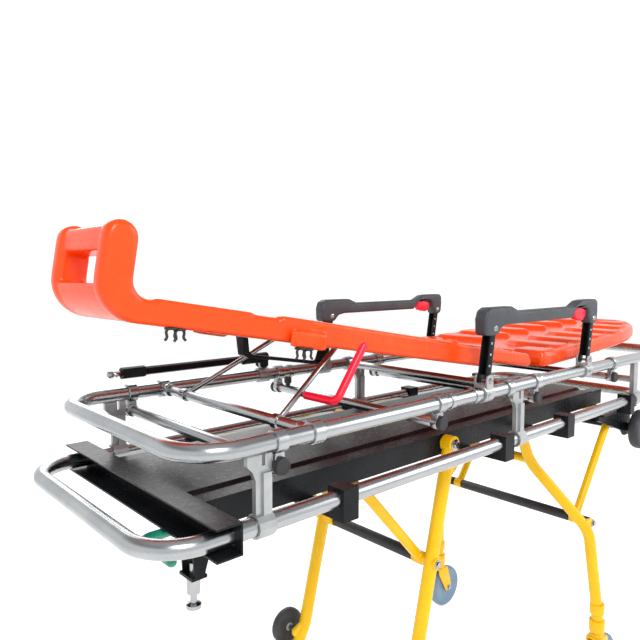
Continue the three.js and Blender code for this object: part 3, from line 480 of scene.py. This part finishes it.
for k in (-1, 1):
    # thick rounded side bands with a shoulder, and the skirt and boss under the wide part
    o = smooth_outline([(-1.000, k * 0.078), (-1.000, k * 0.104), (-0.940, k * 0.111), (-0.860, k * 0.125), (-0.700, k * 0.154), (-0.500, k * 0.175), (-0.380, k * 0.191), (-0.234, k * 0.206), (-0.234, k * 0.182), (-0.500, k * 0.147), (-0.700, k * 0.126), (-0.860, k * 0.098)], 0.006)
    plate(bm, o, 0.030, 0.008, "XY", U + 0.003, (), 4)
    o = smooth_outline([(-0.745, k * 0.1545), (-0.745, k * 0.159), (-0.700, k * 0.1625), (-0.665, k * 0.1650), (-0.665, k * 0.1465), (-0.715, k * 0.1505)], 0.004)
    plate(bm, o, 0.030, 0.004, "XY", U - 0.0040, (), 3)
    o = smooth_outline([(-0.760, k * 0.112), (-0.760, k * 0.146), (-0.700, k * 0.1575), (-0.500, k * 0.1755), (-0.380, k * 0.1915), (-0.215, k * 0.2085), (-0.100, k * 0.210), (-0.050, k * 0.208), (-0.050, k * 0.166), (-0.380, k * 0.150)], 0.012)
    plate(bm, o, 0.016, 0.006, "XY", T - 0.0035, (), 4)
    o = smooth_outline([(-0.968, k * 0.070), (-0.968, k * 0.104), (-0.860, k * 0.124), (-0.800, k * 0.134), (-0.800, k * 0.096)], 0.012)
    plate(bm, o, 0.012, 0.005, "XY", T - 0.003, (), 4)
# small rib ends on the wide part's rim
for u, v in ((-0.330, 0.196), (-0.130, 0.209)):
    for k in (-1, 1):
        cyl(bm, (u, k * (v - 0.030), T + 0.001), (u, k * (v - 0.002), T + 0.001), 0.009, 20, 0.003)
melt(bm, 0.0032, 6, 0.5)
for k in (-1, 1):
    cyl(bm, (0, k * 0.090, 0), (0, k * 0.166, 0), 0.0095, 32)
    block(bm, (-0.050, k * 0.090, -0.009), (0.0, k * 0.166, 0.009), 0.003)
bm.transform(TILT)
piece("deck_leg_moulding", bm, "deck_leg", "orange_plastic", nodes=["deck_leg_section"], angle=60, fix=False)

BACK = [(0.013, 0.206), (0.050, 0.210), (0.400, 0.209), (0.560, 0.192), (0.690, 0.153), (0.770, 0.106), (0.800, 0.070), (0.812, 0.052)]
bm = new()
board(bm, BACK, TB, rim=0.034, dish=0.006)
for i, u in enumerate((0.150, 0.260, 0.370, 0.480, 0.590, 0.690)):
    w = 0.194 if u < 0.5 else 0.194 - (u - 0.5) * 0.34
    for k in (-1, 1):
        o = smooth_outline([(u - 0.036, k * w), (u + 0.030, k * w), (u + 0.022, k * 0.060), (u + 0.002, k * 0.030), (u - 0.014, k * 0.030), (u - 0.026, k * 0.070)], 0.013)
        plate(bm, o, 0.024, 0.008, "XY", TB - 0.006, (), 4)
for k in (-1, 1):
    o = smooth_outline([(0.016, k * 0.110), (0.016, k * 0.205), (0.085, k * 0.206), (0.075, k * 0.130)], 0.014)
    plate(bm, o, 0.018, 0.006, "XY", TB - 0.004, (), 3)
melt(bm, 0.0034, 5, 0.5)
cyl(bm, (0, -0.0895, 0), (0, 0.0895, 0), 0.0095, 32)
block(bm, (0.0, -0.0895, -0.009), (0.034, 0.0895, 0.009), 0.003)
bm.transform(FLAT)
piece("deck_back_moulding", bm, "deck_back", "orange_plastic", nodes=["deck_back_section"], angle=60, fix=False)

bm = new()
for k in (-1, 1):
    lathe(bm, [(0, 0), (0.006, 0), (0.006, 0.004), (0.0045, 0.006), (0, 0.006)], TILT @ Vector((0, k * 0.1665, 0)), Vector((0, k, 0)), 28)
for u, v in ((-0.10, 0.178), (-0.30, 0.160)):
    for k in (-1, 1):
        lathe(bm, [(0.0075, -0.001), (0.0075, 0.0008), (0.006, 0.0016), (0, 0.0018)], TILT @ Vector((u, k * v, T + 0.003)), TILT.to_3x3() @ Zax, 24)
piece("deck_screws", bm, "deck_leg", "bright_steel")
# spring clips under the leg section
bm = new()
for u, v, w in ((-0.936, -0.102, U - 0.0115), (-0.921, -0.103, U - 0.0115), (-0.722, -0.1585, U - 0.0180), (-0.706, -0.1595, U - 0.0180)):
    c = TILT @ Vector((u, v, w))
    for e in (-1, 1):
        sweep(bm, [c + Vector((e * 0.003, 0, 0.001)), c + Vector((e * 0.008, 0, -0.006)), c + Vector((e * 0.006, 0, -0.014)), c + Vector((e * 0.010, 0, -0.019))], 0.0022, 0.004, False, 12)
    block(bm, c + Vector((-0.007, -0.008, -0.003)), c + Vector((0.007, 0.008, 0.001)), 0.001)
piece("deck_clips", bm, "deck_leg", "rubber")
# rack bar
bm = new()
o = [(-0.742, U), (-0.728, U - 0.046), (-0.720, U - 0.050), (-0.530, U - 0.050), (-0.522, U - 0.046), (-0.514, U), (-0.525, U), (-0.533, U - 0.040), (-0.539, U - 0.0435), (-0.708, U - 0.0435), (-0.718, U - 0.038), (-0.729, U)]
plate(bm, o, 0.024, 0.0018, "XZ", 0.0, (), 2, TILT)
for u in (-0.736, -0.520):
    rivet(bm, TILT @ Vector((u, 0.012, U - 0.006)), Vector((0, 1, 0)))
    rivet(bm, TILT @ Vector((u, -0.012, U - 0.006)), Vector((0, -1, 0)))
piece("rack_strap", bm, "deck_leg", "black_steel", nodes=["rack_bar"])

# prop and lever
pa = 29.5 * DEG
c, s_ = math.cos(pa), math.sin(pa)
def PR(r, y, o=0.0):
    return P(215 + r * c - o * s_, y, 870 + r * s_ + o * c)
bm = new()
for _, k in SIDES:
    lathe(bm, [(0.0099, -0.008), (0.0118, -0.008), (0.0125, -0.0072), (0.0125, 0.0072), (0.0118, 0.008), (0.0099, 0.008), (0.0099, -0.008)][:-1], P(215, k * 150, 870), Yax, 36)
for _, k in SIDES:
    sweep(bm, [PR(10, k * 147.5), PR(213, k * 96), PR(213, 0)], 0.005, 0.009, False, 24)
SY = -150 + 77 / 213 * 54
cyl(bm, PR(77, SY, -6), PR(77, -178, -6), 0.0043, 24)
piece("leg_prop_rods", bm, "leg_prop", "bright_steel", nodes=["leg_prop"])
bm = new()
e = 54 * DEG
b0 = PR(77, -218, -6)
sweep(bm, [PR(77, SY - 9, -6), b0, b0 + Vector((0.110 * math.cos(e), 0, 0.110 * math.sin(e)))], 0.0068, 0.013, False, 28)
lathe(bm, [(0.0066, -0.001), (0.0068, 0.002), (0.0060, 0.0052), (0.0035, 0.0072), (0, 0.0080)], b0 + Vector((0.109 * math.cos(e), 0, 0.109 * math.sin(e))), Vector((math.cos(e), 0, math.sin(e))), 28)
piece("prop_lever_sleeve", bm, "leg_prop", "red_plastic", nodes=["prop_lever"])

# ---- side guards -----------------------------------------------------------------------------
PIV, LEAN, LEN = 897.0, 9.8 * DEG, 107.0
dxg, dzg = LEN * math.sin(LEAN), LEN * math.cos(LEAN)
for side, k in SIDES:
    y = k * RAIL_Y
    for n, s in (("foot", 677), ("head", 1126)):
        bm = new()
        lathe(bm, [(0.0144, -0.015), (0.0175, -0.015), (0.0185, -0.0138), (0.0185, 0.0138), (0.0175, 0.015), (0.0144, 0.015)], P(s, y, UPPER_Z), Xax, 40)
        ear = smooth_outline([(-0.011, -0.020), (0.011, -0.020), (0.0115, 0.003), (0.0085, 0.0105), (0.0, 0.0125), (-0.0085, 0.0105), (-0.0115, 0.003)], 0.006)
        for e in (-1, 1):
            plate(bm, [(a + P(s, 0, 0).x, b + PIV / 1000) for a, b in ear], 0.0046, 0.001, "XZ", (y + e * 13.6) / 1000)
        block(bm, P(s - 11, y - 15.5, UPPER_Z + 6), P(s + 11, y + 15.5, UPPER_Z + 15.5), 0.002)
        block(bm, P(s - 15, y - 19, UPPER_Z - 6), P(s + 15, y - 14, UPPER_Z + 6), 0.002)
        block(bm, P(s - 15, y + 14, UPPER_Z - 6), P(s + 15, y + 19, UPPER_Z + 6), 0.002)
        piece("guard_saddle_%s_%s" % (n, side), bm, "stretcher", "cast_alu", nodes=["guard_bracket_%s_%s" % (n, side)])
        bm = new()
        for e in (-1, 1):
            lathe(bm, [(0, 0), (0.0055, 0), (0.0060, 0.0008), (0.0052, 0.0026), (0, 0.0032)], P(s, y + e * 15.8, PIV), Vector((0, e, 0)), 28)
            bolt(bm, P(s + 8 * e, y + e * 19, UPPER_Z), Vector((0, e, 0)), 0.0030, 0.003)
        cyl(bm, P(s, y - 15.9, PIV), P(s, y + 15.9, PIV), 0.003, 20)
        piece("guard_pin_%s_%s" % (n, side), bm, "stretcher", "bright_steel")
        # channel post, open towards the foot end
        R = Matrix.Translation(P(s, y, PIV)) @ Matrix.Rotation(LEAN, 4, "Y")
        bm = new()
        fl = smooth_outline([(-0.009, -0.0075), (0.009, -0.0075), (0.009, 0.1145), (-0.009, 0.1145)], 0.0075)
        for e in (-1, 1):
            plate(bm, fl, 0.0026, 0.0006, "XZ", e * 0.0087, (), 2, R)
        block(bm, (0.0062, -0.0098, 0.010), (0.0090, 0.0098, 0.097), 0.0008, R)
        piece("guard_channel_%s_%s" % (n, side), bm, "guard_post_%s_%s" % (n, side), "black_steel", nodes=["guard_post_%s_%s" % (n, side)])
        bm = new()
        for e in (-1, 1):
            for h in (0.030, 0.053, 0.076):
                rivet(bm, R @ Vector((-0.001, e * 0.0100, h)), R.to_3x3() @ Vector((0, e, 0)), 0.0026, 0.0012)
        piece("guard_rivets_%s_%s" % (n, side), bm, "guard_post_%s_%s" % (n, side), "bright_steel")
    # grip
    a, b, pz = 677 + dxg, 1126 + dxg, PIV + dzg
    prof = [(a - 34, -13), (a - 8, -15), (a + 11, -14), (a + 27, 1), (a + 48, 5), (b - 112, 5), (b - 92, 27), (b - 30, 27), (b - 24, 6), (b - 13, -13), (b + 6, -15), (b + 19, -8), (b + 22, 16), (b + 21, 40), (b + 13, 47), (b - 48, 47), (b - 70, 45), (b - 102, 32), (a + 96, 32), (a + 66, 43), (a - 16, 43), (a - 30, 37), (a - 36, 20)]
    o = smooth_outline([(P(u, 0, 0).x, (pz + w) / 1000) for u, w in prof], 0.009)
    bm = new()
    plate(bm, o, 0.029, 0.0062, "XZ", y / 1000, (), 4)
    piece("guard_handle_%s" % side, bm, "guard_grip_" + side, "black_plastic", nodes=["guard_grip_" + side], angle=50)
    bm = new()
    for cx in (a, b):
        for e in (-1, 1):
            lathe(bm, [(0, -0.001), (0.0062, -0.001), (0.0066, 0.0), (0.0056, 0.0016), (0.0030, 0.0022), (0, 0.0018)], P(cx, y + e * 14.4, pz), Vector((0, e, 0)), 28)
    piece("guard_grip_rivets_" + side, bm, "guard_grip_" + side, "bright_steel")
    tri = [(b - 90, 29), (b - 88, 9), (b - 80, -1), (b - 72, 3), (b - 66, -4), (b - 59, 0), (b - 52, -5), (b - 43, -3), (b - 32, 6), (b - 29, 20), (b - 48, 26), (b - 70, 31)]
    bm = new()
    plate(bm, smooth_outline([(P(u, 0, 0).x, (pz + w) / 1000) for u, w in tri], 0.0035), 0.0136, 0.0028, "XZ", y / 1000, (), 3)
    piece("guard_lever_" + side, bm, "guard_trigger_" + side, "red_plastic", nodes=["guard_trigger_" + side])

# ---- casters and wheels -----------------------------------------------------------------------


def wheel(tag, node, body, at, R, W, tyre, hub_r, hub_mat="hub", treads=0, spokes=0):
    t = Vector((0, 1, 0))
    bm = new()
    h = W / 2
    lathe(bm, [(hub_r, -h * 0.92), (R * 0.86, -h), (R * 0.93, -h * 0.92), (R * 0.985, -h * 0.62), (R, -h * 0.25), (R, h * 0.25), (R * 0.985, h * 0.62), (R * 0.93, h * 0.92), (R * 0.86, h), (hub_r, h * 0.92), (hub_r - 0.001, h * 0.6), (hub_r - 0.001, -h * 0.6), (hub_r, -h * 0.92)][:-1], at, t, 64)
    piece(tag + "_tyre", bm, body, tyre, nodes=[node])
    bm = new()
    lathe(bm, [(0.0068, -h * 1.0), (R * 0.22, -h * 1.0), (R * 0.24, -h * 0.9), (R * 0.25, -h * 0.5), (hub_r * 0.86, -h * 0.42), (hub_r * 0.90, -h * 0.84), (hub_r, -h * 0.88), (hub_r, h * 0.88), (hub_r * 0.90, h * 0.84), (hub_r * 0.86, h * 0.42), (R * 0.25, h * 0.5), (R * 0.24, h * 0.9), (R * 0.22, h * 1.0), (0.0068, h * 1.0)], at, t, 48)
    for i in range(spokes):
        a = 2 * math.pi * i / spokes
        d = Vector((math.cos(a), 0, math.sin(a)))
        n = Vector((-math.sin(a), 0, math.cos(a)))
        for e in (-1, 1):
            p0, p1 = at + d * (R * 0.23), at + d * (hub_r * 0.88)
            cyl(bm, p0 + Yax * e * h * 0.55, p1 + Yax * e * h * 0.55, 0.0030, 12)
    piece(tag + "_hub", bm, body, hub_mat)


for tag, s, yy in (("foot", 520, 168), ("head", 1215, 262)):
    for side, k in SIDES:
        n = "%s_%s" % (tag, side)
        at = P(s + 30, k * yy, 65)
        wheel("caster_" + n, "caster_wheel_" + n, "caster_wheel_" + n, at, 0.065, 0.027, "grey_tyre", 0.044, "hub", spokes=6)
        bm = new()
        out = smooth_outline([(P(s + 18, 0, 0).x, 0.055), (P(s + 42, 0, 0).x, 0.055), (P(s + 43, 0, 0).x, 0.075), (P(s + 24, 0, 0).x, 0.139), (P(s - 22, 0, 0).x, 0.139), (P(s - 20, 0, 0).x, 0.120)], 0.008)
        for e in (-1, 1):
            plate(bm, out, 0.0036, 0.0012, "XZ", (k * yy + e * 17.5) / 1000)
        block(bm, P(s - 22, k * yy - 19, 134.5), P(s + 22, k * yy + 19, 139.8), 0.002)
        lathe(bm, [(0.0, -0.006), (0.019, -0.006), (0.019, 0.001), (0.016, 0.004), (0.016, 0.008), (0.0145, 0.0098), (0, 0.0098)], P(s, k * yy, 138), Zax, 40)
        piece("caster_yoke_" + n, bm, "caster_fork_" + n, "yellow_paint", nodes=["caster_fork_" + n])
        bm = new()
        for e in (-1, 1):
            bolt(bm, at + Yax * e * 0.0192, Vector((0, e, 0)), 0.0065, 0.006)
        cyl(bm, at - Yax * 0.0195, at + Yax * 0.0195, 0.0058, 24)
        cyl(bm, P(s, k * yy, 142), P(s, k * yy, 182), 0.0063, 24)
        piece("caster_axle_" + n, bm, "caster_fork_" + n, "bright_steel")
for side, k in SIDES:
    wheel("elbow_" + side, "elbow_wheel_" + side, "elbow_wheel_" + side, P(518, k * 203, 240), 0.043, 0.020, "dark_tyre", 0.031, "hub")
    wheel("loading_" + side, "loading_wheel_" + side, "loading_wheel_" + side, P(1495, k * 249, 655), 0.057, 0.029, "dark_tyre", 0.042, "rubber", spokes=5)

# ---- legs --------------------------------------------------------------------------------------
R = 0.0145


def socket(bm, at, r=0.0185):
    lathe(bm, [(0.0145, 0.034), (r - 0.001, 0.034), (r, 0.032), (r, 0.004), (r - 0.0015, 0.0005), (0.0070, 0.0005)], at, Zax, 36)


bm = new()
cyl(bm, P(669, -168, 750), P(669, 168, 750), 0.011, 32)
for _, k in SIDES:
    y = k * 168
    sweep(bm, [P(669, y, 750), P(547, y, 251), P(520, y, 200), P(520, y, 150)], R, [0, 0.07, 0.03, 0], False, 36)
    lathe(bm, [(0, -0.013), (0.017, -0.013), (0.018, -0.012), (0.018, 0.012), (0.017, 0.013), (0, 0.013)], P(669, y, 750), Yax, 40)
    socket(bm, P(520, y, 150))
    out = smooth_outline([(P(560, 0, 0).x, 0.236), (P(560, 0, 0).x, 0.268), (P(522, 0, 0).x, 0.252), (P(507, 0, 0).x, 0.245), (P(508, 0, 0).x, 0.230), (P(530, 0, 0).x, 0.228)], 0.006)
    plate(bm, out, 0.010, 0.002, "XZ", y / 1000)
    for s, z in ((609.6, 507),):
        cyl(bm, P(s, y - k * 21, z), P(s, y + k * 17, z), 0.0125, 32)
piece("foot_leg_tubes", bm, "foot_legs", "yellow_paint", nodes=["foot_leg_frame"])
bm = new()
for _, k in SIDES:
    cyl(bm, P(518, k * 165, 240), P(518, k * 217, 240), 0.0055, 24)
    bolt(bm, P(518, k * 215, 240), Vector((0, k, 0)), 0.007, 0.006)
    bolt(bm, P(609.6, k * 185, 507), Vector((0, k, 0)), 0.0065, 0.006)
    bolt(bm, P(669, k * 181, 750), Vector((0, k, 0)), 0.0085, 0.008)
piece("foot_leg_bolts", bm, "foot_legs", "bright_steel")
bm = new()
cyl(bm, P(609.6, -123.5, 507), P(609.6, 123.5, 507), 0.0125, 36, 0.002)
cyl(bm, P(609.6, -148.5, 507), P(609.6, -153, 507), 0.0115, 28)
cyl(bm, P(609.6, 148.5, 507), P(609.6, 153, 507), 0.0115, 28)
for _, k in SIDES:
    sweep(bm, [P(669 + 12, k * 168, 716), P(547 + 17, k * 168, 251 + 8)], 0.0035, 0.01, False, 14)
piece("foot_leg_sleeve", bm, "foot_legs", "rubber")


def brace(bm, lo, hi, y, r):
    sweep(bm, [P(lo[0], -y, lo[1]), P(hi[0], -y, hi[1]), P(hi[0], y, hi[1]), P(lo[0], y, lo[1])], r, 0.05, False, 32)
    for _, k in SIDES:
        lathe(bm, [(0.0099, -0.012), (0.0132, -0.012), (0.014, -0.011), (0.014, 0.011), (0.0132, 0.012), (0.0099, 0.012)], P(lo[0], k * y, lo[1]), Yax, 36)


bm = new(); brace(bm, (609.6, 507), (419, 712), 136, 0.011)
piece("foot_brace_tube", bm, "foot_brace", "yellow_paint", nodes=["foot_brace"])
bm = new(); brace(bm, (1219, 443), (1431, 711), 190, 0.0105)
piece("head_brace_tube", bm, "head_brace", "yellow_paint", nodes=["head_brace"])

bm = new()
cyl(bm, P(1072, -130, 701), P(1072, 130, 701), 0.010, 32)
cyl(bm, P(1122, -108, 608), P(1122, 108, 608), 0.012, 32)
for _, k in SIDES:
    sweep(bm, [P(1072, k * 100, 701), P(1125, k * 104, 600), P(1190, k * 243, 430), P(1215, k * 262, 200), P(1215, k * 262, 150)], R, [0, 0.09, 0.09, 0.03, 0], False, 36)
    lathe(bm, [(0, -0.012), (0.0145, -0.012), (0.0155, -0.011), (0.0155, 0.011), (0.0145, 0.012), (0, 0.012)], P(1072, k * 100, 701), Yax, 40)
    socket(bm, P(1215, k * 262, 150), 0.020)
    lathe(bm, [(0.0140, -0.014), (0.0178, -0.014), (0.0186, -0.012), (0.0186, 0.012), (0.0178, 0.014), (0.0140, 0.014)], P(1214, k * 261.5, 215), Zax, 36)
    out = smooth_outline([(P(1180, 0, 0).x, 0.430), (P(1222, 0, 0).x, 0.432), (P(1231, 0, 0).x, 0.443), (P(1222, 0, 0).x, 0.454), (P(1178, 0, 0).x, 0.462)], 0.007)
    plate(bm, out, 0.010, 0.002, "XZ", k * 0.236)
piece("head_leg_tubes", bm, "head_legs", "yellow_paint", nodes=["head_leg_frame"])
bm = new()
for _, k in SIDES:
    bolt(bm, P(1219, k * 241, 443), Vector((0, k, 0)), 0.0065, 0.006)
    bolt(bm, P(1072, k * 129.5, 701), Vector((0, k, 0)), 0.0065, 0.006)
piece("head_leg_bolts", bm, "head_legs", "bright_steel")
bm = new()
cyl(bm, P(1219, -176, 443), P(1219, 176, 443), 0.0130, 36, 0.002)
for k in (-1, 1):
    cyl(bm, P(1219, k * 203.5, 443), P(1219, k * 230, 443), 0.0125, 28)
piece("head_leg_sleeve", bm, "head_legs", "rubber")

# ---- release handle ------------------------------------------------------------------------------
bm = new()
sweep(bm, [P(40, -112, 722), P(-12, -112, 722), P(-12, -204, 722)], 0.0075, 0.016, False, 28)
cyl(bm, P(40, -122, 722), P(40, -102, 722), 0.0084, 28)
lathe(bm, [(0.0073, -0.001), (0.0075, 0.002), (0.006, 0.006), (0.003, 0.008), (0, 0.0086)], P(-12, -203, 722), Vector((0, -1, 0)), 28)
piece("release_grip", bm, "release_handle", "green_paint", nodes=["release_handle"])

# ---- world, floor, lights -----------------------------------------------------------------------
w = bpy.data.worlds.new("studio")
scene.world = w
w.use_nodes = True
bg = w.node_tree.nodes["Background"]
bg.inputs["Strength"].default_value = 1.12
wt = w.node_tree.nodes.new("ShaderNodeTexCoord")
ws = w.node_tree.nodes.new("ShaderNodeSeparateXYZ")
wr = w.node_tree.nodes.new("ShaderNodeValToRGB")
w.node_tree.links.new(wt.outputs["Generated"], ws.inputs["Vector"])
w.node_tree.links.new(ws.outputs["Z"], wr.inputs["Fac"])
w.node_tree.links.new(wr.outputs["Color"], bg.inputs["Color"])
el = wr.color_ramp.elements
el[0].position, el[0].color = 0.0, (1.0, 1.0, 1.0, 1)
el[1].position, el[1].color = 1.0, (0.62, 0.62, 0.62, 1)
for pos, v in ((0.44, 1.0), (0.60, 0.40), (0.76, 0.32)):
    e_ = el.new(pos)
    e_.color = (v, v, v, 1)
bm = new()
for a, b in ((-12, -12), (12, -12), (12, 12), (-12, 12)):
    bm.verts.new((a, b, 0))
bm.faces.new(list(bm.verts))
me = bpy.data.meshes.new("floor"); bm.to_mesh(me); bm.free()
fl = bpy.data.objects.new("floor", me); scene.collection.objects.link(fl)
fm = material("pale_floor", (0.965, 0.965, 0.965), (0.975, 0.975, 0.975), 0.75, 0.85, 0.0, 1.5, spec=0.1)
fm.node_tree.nodes["Principled BSDF"].inputs["Emission Color"].default_value = (1, 1, 1, 1)
fm.node_tree.nodes["Principled BSDF"].inputs["Emission Strength"].default_value = 0.34
me.materials.append(fm)


def area(name, loc, target, size, power, size_y=None):
    L = bpy.data.lights.new(name, "AREA")
    L.shape, L.size, L.size_y, L.energy = "RECTANGLE", size, size_y or size, power
    o = bpy.data.objects.new(name, L); scene.collection.objects.link(o)
    o.location = loc
    o.rotation_euler = (Vector(target) - Vector(loc)).to_track_quat("-Z", "Y").to_euler()
    return o


area("key", (-1.6, -2.6, 3.2), (0, 0, 0.8), 1.4, 84)
area("fill", (2.6, -2.4, 2.2), (0.3, 0, 0.8), 1.8, 34)
area("back", (0.6, 2.8, 2.6), (0, 0, 0.8), 2.2, 44)
